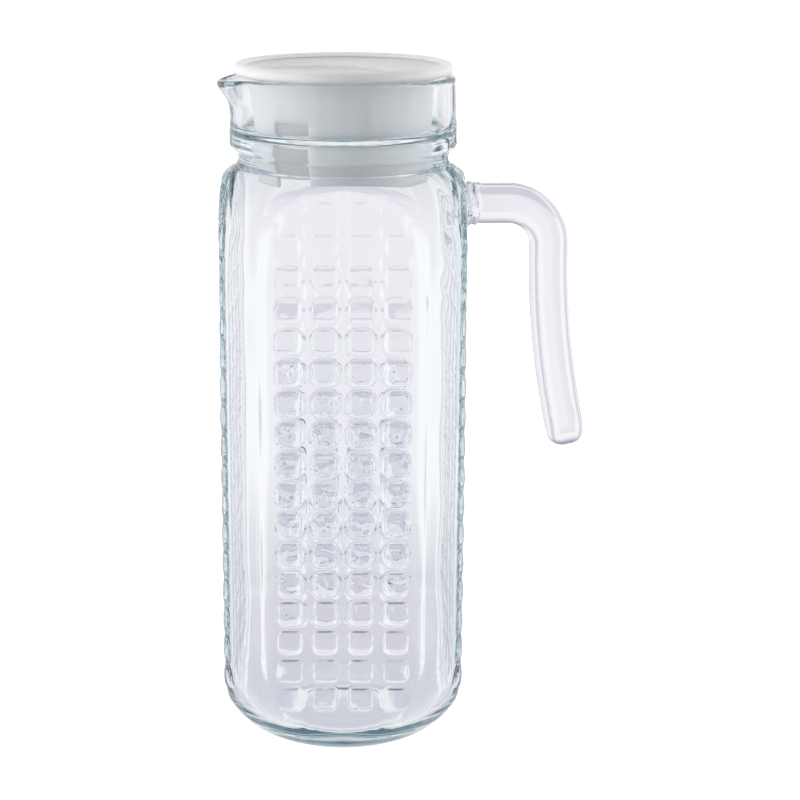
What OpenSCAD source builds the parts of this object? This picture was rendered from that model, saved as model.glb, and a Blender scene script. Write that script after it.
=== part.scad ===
// Pressed-glass refrigerator jug with a fused handle and a stopper lid.
// The origin is on the body's axis, in the plane that the foot stands on.
// +Z is up, +X points to the handle and -X to the pouring lip.

/* [Glass body] */
// Height of the glass rim above the table
rim_h = 255; // [235:1:280]
// Distance between two opposite stud panels, face to face
body_w = 91; // [88:0.5:96]
// How far the round corners between the panels stand out past them
corner_rise = 9; // [7:0.25:11.5]
// Rounding of the crease where a panel meets a corner
crease_r = 6; // [4:0.5:8]
// How far the heel draws in from the wall to the foot
heel_w = 25; // [21:0.5:27]
// Height at which the heel's curve runs out into the wall
heel_h = 44; // [36:1:52]
// Radius of the shoulder's curve
shoulder_r = 27; // [24:0.5:30]
// Thickness of the glass wall
wall = 4.2; // [3.4:0.1:4.8]
// Thickness of glass under the middle of the floor
floor_t = 10; // [8:0.5:13]
// How far the inner wall draws in to the floor
floor_corner_w = 22; // [18:0.5:25]
// Width of the ring that the jug stands on, round the hollow under the foot
foot_ring_w = 5.5; // [4:0.5:10]
// Depth of the hollow under the foot
punt_h = 2; // [1:0.25:3]

/* [Collar and pouring lip] */
// Radius of the collar round the mouth
collar_r = 42; // [41.4:0.1:43]
// Height of the collar
collar_h = 24.6; // [20:0.2:30]
// Thickness of glass at the collar
collar_t = 3.8; // [3.2:0.1:4.6]
// Rounding of the collar's lower corner
collar_corner_r = 2; // [1:0.25:3]
// Rounding of both edges of the rim
rim_edge_r = 1.5; // [0.8:0.1:1.6]
// Width of the sloping ledge between the collar's bore and the throat
ledge_w = 3.4; // [2.8:0.1:4.4]
// Height of the sloping ledge
ledge_h = 4; // [2:0.5:6]
// Thickness of glass at the throat
throat_t = 4.4; // [3.8:0.1:5]
// Radius of the groove outside the throat
groove_r = 4; // [3:0.25:5]
// How far the pouring lip stands out past the collar
lip_out = 4.7; // [3.7:0.1:7]
// Half of the angle that the pouring lip takes out of the rim
lip_half_angle = 38; // [30:1:42]
// Depth of the pouring lip below the rim, where it leaves the collar
lip_root_drop = 10.4; // [8:0.2:14]
// How far the tip of the pouring lip lies below the rim
lip_tip_drop = 1.8; // [0.6:0.2:3]
// Height of the pouring lip's nose
lip_nose_h = 1.9; // [1:0.1:3]
// Thickness of glass at the pouring lip
lip_t = 2.8; // [2.2:0.1:3.4]

/* [Stud panels] */
// Side of one stud
stud_w = 9.5; // [7:0.25:10]
// Rounding of a stud's corners
stud_corner_r = 2.8; // [1.5:0.1:3.4]
// How far a stud stands out of its panel
stud_h = 0.8; // [0.4:0.1:1.2]
// Distance between the columns of studs
stud_pitch_x = 13.2; // [11:0.1:13.6]
// Distance between the rows of studs
stud_pitch_z = 11.55; // [10.6:0.05:13]
// Height of the lowest row's lower edge above the table
stud_start_z = 20.7; // [18:0.1:30]
// Columns of studs on a panel
stud_columns = 4; // [2:1:4]
// Rows of studs on a panel
stud_rows = 17; // [4:1:17]

/* [Handle] */
// Thickness of the handle's strap, seen from the side
strap_t = 14.6; // [12:0.2:16]
// Width of the handle's strap, seen from the end
strap_w = 14; // [11:0.5:17]
// Rounding of the strap's edges
strap_edge_r = 4.5; // [3:0.25:5.2]
// How far the top of the arm lies below the rim
arm_drop = 40.4; // [38:0.2:44]
// Length of the straight arm beyond the panel
arm_l = 16.4; // [13:0.2:22]
// Radius of the bend, on the strap's middle line
bend_r = 15.8; // [12:0.2:19]
// Lean of the leg at its free end, in degrees
lean_end = 12.7; // [10:0.1:14]
// Radius of the leg's slight outward curve
leg_curve_r = 325; // [290:5:360]
// Length of the rounded free end
tip_l = 7; // [5:0.5:9]
// Rounding of the free end's corners
tip_corner_r = 5; // [3:0.25:5.4]
// Radius of the melted pad where the handle is fused to the shoulder
pad_r = 10.6; // [9:0.2:12]
// How far the melted pad stands out of the panel's plane
pad_l = 6; // [4:0.25:8]

/* [Lid] */
// How far the disc's edge lies inside the collar's face
disc_inset = 1.1; // [0:0.1:1.5]
// Height of the disc's rolled edge
disc_edge_h = 4.8; // [4.2:0.1:5.6]
// Thickness of the disc's dished floor
disc_t = 2.3; // [2:0.1:3]
// Gap between the throat and the plug's upper end
plug_gap = 1; // [0.6:0.1:1.6]
// How much slimmer the plug's radius is at its open lower end
plug_taper = 1.3; // [0.8:0.1:2]
// Length of the plug below the disc
plug_l = 38; // [36:0.5:42]
// Thickness of the plug's wall
plug_t = 1.8; // [1.4:0.1:2.4]
// Height of the sealing bead's middle above the plug's end
bead_z = 10; // [8:0.5:13]
// Half the height of the sealing bead
bead_half_h = 1.2; // [0.8:0.1:1.6]
// Gap between the sealing bead and the throat
bead_gap = 0.3; // [0.2:0.05:0.5]
// Gap between the disc and the glass rim
seat_gap = 0.2; // [0.1:0.05:0.4]
// Width of the plug's pouring window
window_w = 14.5; // [10:0.5:18]
// Height of the plug's pouring window above the plug's end
window_h = 23; // [18:0.5:27]
// Direction of the window, in degrees from +X
window_angle = -125; // [-180:1:180]
// Radius of the shallow recess that marks the window from above
mark_r = 28; // [24:0.5:30]
// Distance of the recess's centre from the axis
mark_offset = 18; // [14:0.5:20]
// Depth of the recess
mark_depth = 0.9; // [0.4:0.1:1.2]

/* [Hidden] */

// Smoothness of the true round surfaces
$fn = 96;
// Steps in a quarter turn of a curve in an outline
steps = 8;
// Cuts run past the surface that they leave by this much
over = 2;
// Depth of the studs and the handle's arm inside the glass before the joint is cut
sink = 2;
// The pouring lip's sides run into the collar by this much
lip_sink = 0.4;
// Depth of the handle's free end inside its leg, and how far it stands back from the leg's faces
tip_sink = 1;
tip_step = 0.05;

// Outer flat of a panel and surface of the round corners, from the axis
panel_y = body_w / 2;
body_r = panel_y + corner_rise;
// Radius of the hollow under the foot
punt_r = body_r - heel_w - foot_ring_w;
// Bottom of the collar's straight side
collar_z = rim_h - collar_h;
// Bore of the collar, bore of the throat and outside of the throat, as radii
mouth_r = collar_r - collar_t;
throat_r = mouth_r - ledge_w;
throat_outer_r = throat_r + throat_t;
// Reach of the pouring lip from the axis
lip_reach = collar_r + lip_out;
// Centre of the groove round the throat, on the 45 degree line under the collar
groove_x = throat_outer_r + groove_r;
groove_z = collar_z + groove_x - (collar_r - collar_corner_r) - sqrt(2) * (collar_corner_r + groove_r);
// Centre of the shoulder's curve, which rolls into the groove
shoulder_x = body_r - shoulder_r;
shoulder_z = groove_z - sqrt(pow(shoulder_r + groove_r, 2) - pow(groove_x - shoulder_x, 2));
// Angle from the shoulder's centre to the groove's
roll_angle = atan2(groove_z - shoulder_z, groove_x - shoulder_x);
// Inner radius of the round corners and radius of the inner shoulder
inner_r = body_r - wall;
inner_shoulder_r = shoulder_r - wall;
// The ledge's lower edge, level with the middle of the corner under the collar
ledge_z = collar_z + collar_corner_r;
// The blend at a crease crosses the round corner a little outside it
crease_margin = 0.15;
// Middle line of the handle's arm
arm_z = rim_h - arm_drop - strap_t / 2;
bend_x = panel_y + arm_l;
bend_z = arm_z - bend_r;
// Rows of studs that end below the handle's pad
pad_rows = min(stud_rows, floor((arm_z - pad_r - stud_start_z - stud_w) / stud_pitch_z) + 1);
// Underside of the lid's disc and open end of its plug
disc_z = rim_h + seat_gap;
plug_z = disc_z - plug_l;
// Outer radii of the disc, and of the plug at its two ends
disc_r = collar_r - disc_inset;
plug_top_r = throat_r - plug_gap;
plug_end_r = plug_top_r - plug_taper;

// Points on an arc from angle a to angle b round (x, y)
function arc(x, y, r, a, b, n = steps) =
    [for (i = [0 : n]) [x + r * cos(a + (b - a) * i / n), y + r * sin(a + (b - a) * i / n)]];

// Points on a quarter of an oval, from the floor's level up to a wall
function oval_corner(wall_r, floor_z, w, h, n = 2 * steps) =
    [for (i = [0 : n]) [wall_r - w + w * sin(90 * i / n), floor_z + h - h * cos(90 * i / n)]];

// Outline of a rectangle with rounded corners, centred on the origin
function rounded(w, h, r, n = 4) = concat(
    arc(w / 2 - r, h / 2 - r, r, 0, 90, n),
    arc(r - w / 2, h / 2 - r, r, 90, 180, n),
    arc(r - w / 2, r - h / 2, r, 180, 270, n),
    arc(w / 2 - r, r - h / 2, r, 270, 360, n));

// Radius of the outer shoulder at a height
function shoulder_radius(z) = z <= shoulder_z ? body_r
    : shoulder_x + sqrt(max(0, pow(shoulder_r, 2) - pow(z - shoulder_z, 2)));

// Radius of the heel at a height
function heel_radius(z) = z >= heel_h ? body_r
    : body_r - heel_w + heel_w * sqrt(1 - pow(1 - z / heel_h, 2));

// Half of a panel's flat width at a height
function panel_half_width(z) = sqrt(max(0, pow(min(shoulder_radius(z), heel_radius(z)), 2) - pow(panel_y, 2)));

// Square with rounded creases that reaches just outside the round corners
module panel_outline(flat, corner) {
    centre = flat - crease_r;
    reach = corner + crease_margin - crease_r;
    along = sqrt(pow(reach, 2) - pow(centre, 2));
    turn = atan2(along, centre);
    tip = corner + crease_margin;
    diagonal = tip / cos(45 - turn);
    polygon([for (q = [0 : 3]) each concat(
        [for (p = arc(centre, along, crease_r, 0, turn, steps / 2))
            [p[0] * cos(90 * q) - p[1] * sin(90 * q), p[0] * sin(90 * q) + p[1] * cos(90 * q)]],
        [[diagonal * cos(45 + 90 * q), diagonal * sin(45 + 90 * q)]],
        [for (p = arc(along, centre, crease_r, 90 - turn, 90, steps / 2))
            [p[0] * cos(90 * q) - p[1] * sin(90 * q), p[0] * sin(90 * q) + p[1] * cos(90 * q)]])]);
}

// The jug without its hollow: foot, heel, corners, shoulder, throat and collar
module glass_outside() {
    intersection() {
        rotate_extrude()
            polygon(concat(
                [[0, 0]],
                oval_corner(body_r, 0, heel_w, heel_h),
                arc(shoulder_x, shoulder_z, shoulder_r, 0, roll_angle),
                arc(groove_x, groove_z, groove_r, 180 + roll_angle, 135),
                arc(collar_r - collar_corner_r, collar_z, collar_corner_r, -45, 0, steps / 2),
                arc(collar_r - rim_edge_r, rim_h - rim_edge_r, rim_edge_r, 0, 90, steps / 2),
                [[0, rim_h]]));
        linear_extrude(height = rim_h + over)
            panel_outline(panel_y, body_r);
    }
}

// The hollow: floor, walls, shoulder, straight throat, ledge and the collar's bore
module glass_inside() {
    throat_turn = acos((throat_r - shoulder_x) / inner_shoulder_r);
    intersection() {
        rotate_extrude()
            polygon(concat(
                [[0, floor_t]],
                oval_corner(inner_r, floor_t, floor_corner_w, heel_h - floor_t),
                arc(shoulder_x, shoulder_z, inner_shoulder_r, 0, throat_turn),
                [[throat_r, ledge_z], [mouth_r, ledge_z + ledge_h]],
                arc(mouth_r + rim_edge_r, rim_h - rim_edge_r, rim_edge_r, 180, 90, steps / 2),
                [[mouth_r + rim_edge_r, rim_h + over], [0, rim_h + over]]));
        linear_extrude(height = rim_h + 2 * over)
            panel_outline(panel_y - wall, inner_r);
    }
}

// Sector of the plan that swells from a radius at its sides to a reach at its middle, on the -X side
module lip_plan(side_r, reach) {
    polygon(concat(
        [[0, 0]],
        [for (i = [0 : 4 * steps])
            let (angle = lip_half_angle * (i / (2 * steps) - 1))
            let (r = side_r + (reach - side_r) * pow(cos(angle * 90 / lip_half_angle), 2))
            [-r * cos(angle), r * sin(angle)]]));
}

// Rise of the pouring lip's underside for each millimetre that it reaches out
lip_slope = (lip_root_drop - lip_tip_drop - lip_nose_h) / (lip_reach - collar_r);
// Height of the underside at a radius
function lip_under(r) = rim_h - lip_root_drop + (r - collar_r) * lip_slope;
// Height of the channel's floor at a radius, one thickness above the underside
function lip_floor(r) = lip_under(r) + lip_t * sqrt(1 + pow(lip_slope, 2));

// The glass drawn out of the collar into the pouring lip
module lip_outside() {
    side_r = collar_r - lip_sink;
    intersection() {
        rotate_extrude()
            polygon([
                [0, lip_under(side_r)], [side_r, lip_under(side_r)],
                [lip_reach + over, lip_under(lip_reach + over)], [lip_reach + over, rim_h - lip_tip_drop],
                [lip_reach, rim_h - lip_tip_drop], [side_r - rim_edge_r, rim_h - lip_sink],
                [0, rim_h - lip_sink]]);
        translate([0, 0, rim_h - lip_root_drop - over])
            linear_extrude(height = lip_root_drop + over)
                lip_plan(side_r, lip_reach);
    }
}

// The channel along the pouring lip
module lip_channel() {
    side_r = mouth_r - lip_sink;
    end_r = lip_reach - lip_t;
    intersection() {
        rotate_extrude()
            polygon([
                [0, lip_floor(side_r)], [side_r, lip_floor(side_r)],
                [end_r + over, lip_floor(end_r + over)], [end_r + over, rim_h + over], [0, rim_h + over]]);
        translate([0, 0, lip_floor(side_r) - over])
            linear_extrude(height = rim_h - lip_floor(side_r) + 2 * over)
                lip_plan(side_r, end_r);
    }
}

// One panel of studs, on the side that faces -Y
module stud_panel(rows) {
    for (row = [0 : rows - 1], column = [0 : stud_columns - 1]) {
        x = (column - (stud_columns - 1) / 2) * stud_pitch_x;
        z = stud_start_z + row * stud_pitch_z;
        // A stud is left out where the panel's arch is too narrow for it
        if (abs(x) + stud_w / 2 <= panel_half_width(z + stud_w))
            translate([x, sink - panel_y, z + stud_w / 2])
                rotate([90, 0, 0])
                    linear_extrude(height = sink + stud_h)
                        polygon(rounded(stud_w, stud_w, stud_corner_r, 2));
    }
}

// Spherical hollow under the foot
module punt() {
    dome_r = (pow(punt_r, 2) + pow(punt_h, 2)) / (2 * punt_h);
    translate([0, 0, punt_h - dome_r])
        sphere(r = dome_r);
}

// Pressed glass body with its four panels of studs
module jug_body() {
    color([0.80, 0.88, 0.88, 0.5])
        difference() {
            union() {
                glass_outside();
                lip_outside();
                for (turn = [0, 180, 270])
                    rotate([0, 0, turn])
                        stud_panel(stud_rows);
                rotate([0, 0, 90])
                    stud_panel(pad_rows);
            }
            glass_inside();
            lip_channel();
            punt();
        }
}

// Section of the handle's strap: its thickness along X, its width along Y
module strap_section() {
    polygon(rounded(strap_t, strap_w, strap_edge_r));
}

// A curved stretch of the strap, from +X round the Z axis
module strap_bend(r, angle) {
    rotate_extrude(angle = angle)
        translate([r, 0])
            strap_section();
}

// The rounded free end, a hair slimmer than the leg that it is sunk into
module strap_tip() {
    t = strap_t - 2 * tip_step;
    w = strap_w - 2 * tip_step;
    intersection() {
        translate([0, 0, -tip_l])
            linear_extrude(height = tip_l + tip_sink)
                polygon(rounded(t, w, strap_edge_r));
        rotate([90, 0, 0])
            linear_extrude(height = strap_w, center = true)
                polygon(rounded(t, 2 * tip_l, tip_corner_r));
        rotate([90, 0, 90])
            linear_extrude(height = strap_t, center = true)
                polygon(rounded(w, 2 * tip_l, tip_corner_r));
    }
}

// Solid glass handle, fused to the shoulder at its top only
module handle() {
    leg_x = bend_x + bend_r + leg_curve_r;
    color([0.80, 0.85, 0.90, 0.6])
        difference() {
            union() {
                translate([panel_y - sink, 0, arm_z])
                    rotate([0, 90, 0])
                        linear_extrude(height = arm_l + sink)
                            strap_section();
                translate([panel_y - sink, 0, arm_z])
                    rotate([0, 90, 0])
                        cylinder(r1 = pad_r, r2 = strap_w / 2, h = pad_l + sink);
                translate([bend_x, 0, bend_z])
                    rotate([-90, -90, 0])
                        strap_bend(bend_r, 90);
                translate([leg_x, 0, bend_z])
                    rotate([90, 180, 0])
                        strap_bend(leg_curve_r, lean_end);
                translate([leg_x - leg_curve_r * cos(lean_end), 0, bend_z - leg_curve_r * sin(lean_end)])
                    rotate([0, -lean_end, 0])
                        strap_tip();
            }
            glass_outside();
        }
}

// The recess that marks the window, inside the disc's dish
module lid_mark() {
    intersection() {
        translate([0, 0, disc_z + disc_t - mark_depth])
            cylinder(r = disc_r - disc_edge_h, h = over + mark_depth);
        rotate([0, 0, window_angle])
            translate([mark_offset, 0, disc_z + disc_t - mark_depth])
                cylinder(r = mark_r, h = over + mark_depth);
    }
}

// Moulded stopper lid: dished disc, hollow plug, sealing bead and pouring window
module lid() {
    edge_r = disc_edge_h / 2;
    bead_r = throat_r - bead_gap;
    wall_at_bead = plug_end_r + (plug_top_r - plug_end_r) * bead_z / plug_l;
    color([0.95, 0.95, 0.95])
        difference() {
            rotate_extrude()
                polygon(concat(
                    [[0, disc_z], [plug_top_r - plug_t, disc_z], [plug_end_r - plug_t, plug_z]],
                    [[plug_end_r, plug_z], [wall_at_bead, plug_z + bead_z - bead_half_h]],
                    [[bead_r, plug_z + bead_z - bead_half_h / 3], [bead_r, plug_z + bead_z + bead_half_h / 3]],
                    [[wall_at_bead, plug_z + bead_z + bead_half_h], [plug_top_r, disc_z]],
                    arc(disc_r - edge_r, disc_z + edge_r, edge_r, -90, 90),
                    arc(disc_r - edge_r, disc_z + edge_r, edge_r, 90, 180, steps / 2),
                    [[disc_r - disc_edge_h, disc_z + disc_t], [0, disc_z + disc_t]]));
            lid_mark();
            rotate([0, 0, window_angle])
                translate([plug_end_r / 2, -window_w / 2, plug_z - over])
                    cube([disc_r - plug_end_r / 2, window_w, window_h + over]);
        }
}

jug_body();
handle();
lid();
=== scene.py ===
# Pressed-glass refrigerator jug with a fused handle and a white stopper lid.
# Sizes are in millimetres until a mesh is made, which turns them to metres.
import math

import bmesh
import bpy
import numpy as np
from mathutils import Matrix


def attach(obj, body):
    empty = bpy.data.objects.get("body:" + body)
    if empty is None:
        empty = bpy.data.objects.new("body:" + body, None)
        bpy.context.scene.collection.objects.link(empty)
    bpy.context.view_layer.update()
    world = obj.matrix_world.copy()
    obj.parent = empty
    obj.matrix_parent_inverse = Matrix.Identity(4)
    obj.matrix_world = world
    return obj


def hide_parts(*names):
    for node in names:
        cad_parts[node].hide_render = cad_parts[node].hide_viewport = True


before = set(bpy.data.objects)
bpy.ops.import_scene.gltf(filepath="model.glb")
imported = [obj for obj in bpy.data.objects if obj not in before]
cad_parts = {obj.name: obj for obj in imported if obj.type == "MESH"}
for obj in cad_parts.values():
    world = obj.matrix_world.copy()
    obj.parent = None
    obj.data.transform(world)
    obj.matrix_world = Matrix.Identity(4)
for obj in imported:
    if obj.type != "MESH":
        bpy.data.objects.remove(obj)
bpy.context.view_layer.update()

MM = 0.001

# Sizes of the glass body, as in the part's source. An arc is the (r, z) of its middle and its radius
RIM_Z, RIM_CORNER = 255.0, 1.5
PANEL_Y = 45.5
BODY_R = 54.5
WALL = 4.2
HEEL_W, HEEL_H = 25.0, 44.0
PUNT_R, PUNT_H = 24.0, 2.0
SHOULDER = (27.5, 198.4, 27.0)
GROOVE, ROLL = (43.2, 225.12, 4.0), 59.6
MOUTH_R, THROAT_R = 38.2, 34.8
LIP_HALF_ANGLE = 38.0

# Sizes of the glass body that are the scene's own
FLOOR_Z, FLOOR_W = 7.5, 17.5
COLLAR_CORNER = (40.3, 230.4, 2.1)
COLLAR_LOW_R, COLLAR_TOP_R = 42.4, 41.8
COLLAR_LOW_Z, COLLAR_TOP_Z = 232.0, 250.0
RIM_MIDDLE_R = 40.1
INNER_RISE, THROAT_FILLET = 2.6, 5.0
INNER_WALL_TOP, INNER_WALL_FOOT = 190.0, 50.0
CREASE_BLEND, PLUNGER_BLEND = 1.8, 4.0
BLEND_CHANGE_Z = (185.0, 203.0)
PANEL_TOP_Z, INNER_PANEL_TOP_Z = 222.0, 223.0
# The ledge's height, and how far up and down from it the painted shade band in the glass's colour reaches
LEDGE_Z, LEDGE_SHADE_W = 234.9, 2.0

# Waves that the plunger leaves in the inner wall: height, number round the body, rise for each radian, and
# phase. They fade in above the floor, and out over the shoulder
PLUNGER_WAVES = ((0.035, 5, 13.0, 0.0), (0.025, 11, -9.1, 1.3), (0.015, 17, 7.3, 0.4))
WAVES_FROM_Z, WAVES_FULL_H = 12.0, 30.0
WAVES_FADE_Z, WAVES_FADE_H = 205.0, 17.0

# Sizes of the studs. The skin's lines cross a stud at STUD_STATIONS. The upper rows lose up to STUD_LOSS of
# their height, and none rises where the heel sinks away. A stud's tone, a painted shade that also stands
# for the deeper tint of its thicker glass, grows STUD_TONE times as fast as its height, and is full from
# just inside its edge
STUD_W, STUD_CORNER, STUD_H = 9.5, 2.8, 0.8
STUD_PITCH_X, STUD_PITCH_Z = 13.2, 11.55
STUD_FIRST_Z = 20.7
STUD_COLUMNS, STUD_ROWS, PAD_ROWS = 4, 17, 15
STUD_EDGE, STUD_CROWN, STUD_TONE = 1.6, 0.5, 2.2
STUD_STATIONS = (-4.75, -4.3, -3.6, -2.4, 0.0, 2.4, 3.6, 4.3, 4.75)
STUD_GRID_TOP_Z = 215.2
STUD_LOSS, LOSS_FIRST_ROW, LOSS_ROWS = 0.52, 10.5, 3.0
HEEL_SINK, HEEL_SINK_FADE = 3.2, 1.6
# The dark dash at a stud's upper edge, painted shade for the dark line the glass shows there: how far above
# and beside the stud's middle it begins, is full and ends
DASH_BEGIN, DASH_FULL, DASH_FADE, DASH_END = 3.7, 4.2, 4.4, 4.7
DASH_HALF_W, DASH_REACH_W = 2.4, 3.8

# Sizes of the handle, of the folds in its root and in the body's melted skin round it, and of its parting
# line, the seam
ARM_Z, BEND_X, BEND_R = 207.3, 61.9, 15.8
LEG_R, LEAN_END = 325.0, 12.7
STRAP_T, STRAP_W, STRAP_EDGE = 14.6, 14.0, 4.5
TIP_L, TIP_CORNER = 7.0, 6.4
ROOT_GAP = 0.04
ROOT_FINE_X, ARM_COARSE_X, ROOT_L = 54.0, 55.2, 12.0
ROOT_FLARE_L, ROOT_SWELL, ROOT_SWELL_BELOW = 1.9, 1.6, 1.5
ROOT_FOLD_H, ROOT_FOLD_AT, ROOT_FOLD_PITCH = 0.62, 2.8, 3.4
MELT_X, MELT_H, MELT_PITCH, MELT_REACH = 46.0, 0.42, 8.5, 33.0
MELT_BARE_R, MELT_FADE, MELT_LOW_Z = 7.0, 5.0, 160.0
SEAM_OFFSET, SEAM_LOW_Z, SEAM_HIGH_Z = 4.4, 128.0, 190.0
SEAM_HALF_W, SEAM_H, SEAM_FADE, SEAM_BEAD = 0.4, 0.3, 6.0, 1.6
# How the folds wander round the joint, as waves: depth in radians, number round it, and phase
ROOT_WANDER = ((2.4, 2, 0.6), (3.0, 1, 0.0), (1.5, 5, 0.0))
MELT_WANDER = ((1.9, 3, 0.7), (1.2, 7, 0.0))

# Sizes of the lid
DISC_Z, DISC_R, DISC_EDGE = 255.2, 40.9, 2.4
DISH_Z, DISH_R = 257.5, 35.4
PLUG_TOP_R, PLUG_END_R, PLUG_T, PLUG_Z = 33.8, 32.5, 1.8, 215.5
BEAD_Z, BEAD_R, BEAD_HALF = 227.2, 34.5, 1.2
WINDOW_W, WINDOW_TOP, WINDOW_ANGLE = 14.5, 240.2, -123.5
MARK_R, MARK_OFFSET, MARK_Z = 28.0, 18.0, 256.6
SOFT_EDGE, SOFT_EDGE_ANGLE = 0.35, 40.0
CUTTER_SLACK, MARK_CUTTER_H, DISH_CUTTER_H = 2.0, 6.0, 4.0

# Patterns in the glass and the plastic: the width of one patch, and how high the bump stands. The plastic's
# real grain is finer than GRAIN, which is as coarse as it needs to be to show
RIPPLE, RIPPLE_H = 3.9, 0.85
BLOTCH = 9.0
GRAIN, GRAIN_H, CLOUD = 0.5, 0.02, 25.0
# Heights on the body between which the ripples and the studs' painted shade come in and die out, and the
# painted dark dashes get fewer
RIPPLE_IN_Z, RIPPLE_OUT_Z, DASH_SHADE_Z = (55.0, 85.0), (125.0, 162.0), (66.0, 90.0)

# The studio, in metres from the jug's foot. The lens and the floor's drop are in millimetres, the camera's
# pitch is in degrees, and its shift is a share of the picture's width. A lamp has a place, an aim, a size,
# and a power in watts
CAMERA_PLACE, CAMERA_PITCH = (0.0, -0.750, 0.330), 14.9
LENS, SHIFT_X = 90.45, 0.07125
FLOOR_R, FLOOR_DROP = 6.0, 0.05
FLOOR_LIFT_R = (0.1, 0.9)
LAMPS = {"overhead_softbox": ((0.20, 0.45, 1.20), (0, 0, 0.15), (1.1, 0.9), 2.2),
         "back_softbox": ((0.0, 1.10, 0.50), (0, 0, 0.2), (1.2, 0.8), 5.0),
         "left_softbox": ((-1.05, -0.25, 0.50), (0, 0, 0.2), (0.5, 0.9), 9.5),
         "right_softbox": ((1.05, 0.05, 0.50), (0, 0, 0.2), (0.5, 0.9), 7.5)}
# What the glass sees round it. Its cards follow a wave round the jug, and heights are the Z of a direction
CARDS = 8
GAP_WAVE, CARD_WAVE, CARD_WIDER = (-1.0, -0.45), (0.35, 0.95), 0.6
CARD_MIDDLE_Z, CARD_HALF, CARD_END = -0.38, 0.31, 0.39
DEEPER_Z = (-0.35, -0.29)
GAP_FADE_Z, CEILING_Z, STEEP_Z, STEEP_SHARE = (0.55, 0.9), (0.12, 0.6), (-0.97, -0.84), 0.5
FRONT_LIGHT, BACK_LIGHT, BOUNCED_SHARE = 0.20, 0.40, 0.9


def linear(code):
    """sRGB hex code as linear RGBA."""
    parts = [int(code[i:i + 2], 16) / 255 for i in (0, 2, 4)]
    return tuple(c / 12.92 if c <= 0.04045 else ((c + 0.055) / 1.055) ** 2.4 for c in parts) + (1.0,)


def add(tree, kind, at=(0, 0), links=None, **settings):
    """Adds a node. settings are its properties, or inputs by their names with _ for a space. links go by an
    input's name or number. Each holds a socket, a node for its first output, or a plain value."""
    node = tree.nodes.new(kind)
    node.location = at
    for name, value in settings.items():
        if hasattr(node, name):
            setattr(node, name, value)
        else:
            node.inputs[name.replace("_", " ")].default_value = value
    for name, value in (links or {}).items():
        source = value.outputs[0] if isinstance(value, bpy.types.Node) else value
        if isinstance(source, bpy.types.NodeSocket):
            tree.links.new(source, node.inputs[name])
        else:
            node.inputs[name].default_value = source
    return node


def per_metre(width):
    """How many patches of a pattern lie in a metre, from the width of one in millimetres."""
    return 1 / MM / width


def mesh_object(name, points, faces, smooth=True):
    """A mesh object at the origin, from points in millimetres."""
    mesh = bpy.data.meshes.new(name)
    mesh.from_pydata([tuple(p) for p in np.asarray(points) * MM], [], faces)
    mesh.validate()
    shell = bmesh.new()
    shell.from_mesh(mesh)
    bmesh.ops.recalc_face_normals(shell, faces=shell.faces)
    shell.to_mesh(mesh)
    shell.free()
    mesh.polygons.foreach_set("use_smooth", [smooth] * len(mesh.polygons))
    mesh.update()
    piece = bpy.data.objects.new(name, mesh)
    bpy.context.scene.collection.objects.link(piece)
    return piece


def grid_faces(rows, columns):
    """Faces of a closed skin: rows of points round an axis, then the poles of its first and last row."""
    first_pole, last_pole = rows * columns, rows * columns + 1
    faces = []
    for i in range(rows - 1):
        a, b = i * columns, (i + 1) * columns
        for j in range(columns):
            k = (j + 1) % columns
            faces.append((a + j, a + k, b + k, b + j))
    last = (rows - 1) * columns
    for j in range(columns):
        k = (j + 1) % columns
        faces.append((first_pole, k, j))
        faces.append((last_pole, last + j, last + k))
    return faces


def arc(x, z, r, start, end, n):
    """Points (r, z) on an arc, angles in degrees."""
    return [(x + r * math.cos(math.radians(start + (end - start) * i / n)),
             z + r * math.sin(math.radians(start + (end - start) * i / n))) for i in range(n + 1)]


def outer_radius(z):
    """Radius of the body's round corners at a height: heel, straight side or shoulder."""
    heel = BODY_R if z >= HEEL_H else BODY_R - HEEL_W + HEEL_W * math.sqrt(1 - (1 - z / HEEL_H) ** 2)
    x, centre_z, r = SHOULDER
    shoulder = x + r if z <= centre_z else x + math.sqrt(max(0.0, r ** 2 - (z - centre_z) ** 2))
    return min(heel, shoulder)


def collar_radius(z):
    """The collar draws in a little towards the rim."""
    share = (z - COLLAR_LOW_Z) / (COLLAR_TOP_Z - COLLAR_LOW_Z)
    return COLLAR_LOW_R + (COLLAR_TOP_R - COLLAR_LOW_R) * share


def smooth_least(a, b, blend):
    """The smaller of a and b, with a soft crease where they cross."""
    h = np.clip(0.5 + 0.5 * (b - a) / blend, 0, 1)
    return b + (a - b) * h - blend * h * (1 - h)


# The glass body is one grid. Its columns are lines of equal angle, which are also lines of equal
# width on the flat panels, so they follow the studs' edges.
def panel_angles():
    """Angles of the columns on one panel and half of each corner, from the panel's middle."""
    widths = []
    for c in range(STUD_COLUMNS):
        centre = (c - (STUD_COLUMNS - 1) / 2) * STUD_PITCH_X
        widths += [centre + s for s in STUD_STATIONS] + [centre + STUD_PITCH_X / 2]
    widths = widths[:-1]
    edge = [25.6, 27.2, 28.6, 29.6, 30.6, 31.8]
    angles = [math.degrees(math.atan(w / PANEL_Y)) for w in [-e for e in reversed(edge)] + widths + edge]
    corner = [36.6, 38.4, 40.2, 42.0, 43.5]
    return [-45.0] + [-c for c in reversed(corner)] + angles + corner


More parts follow.
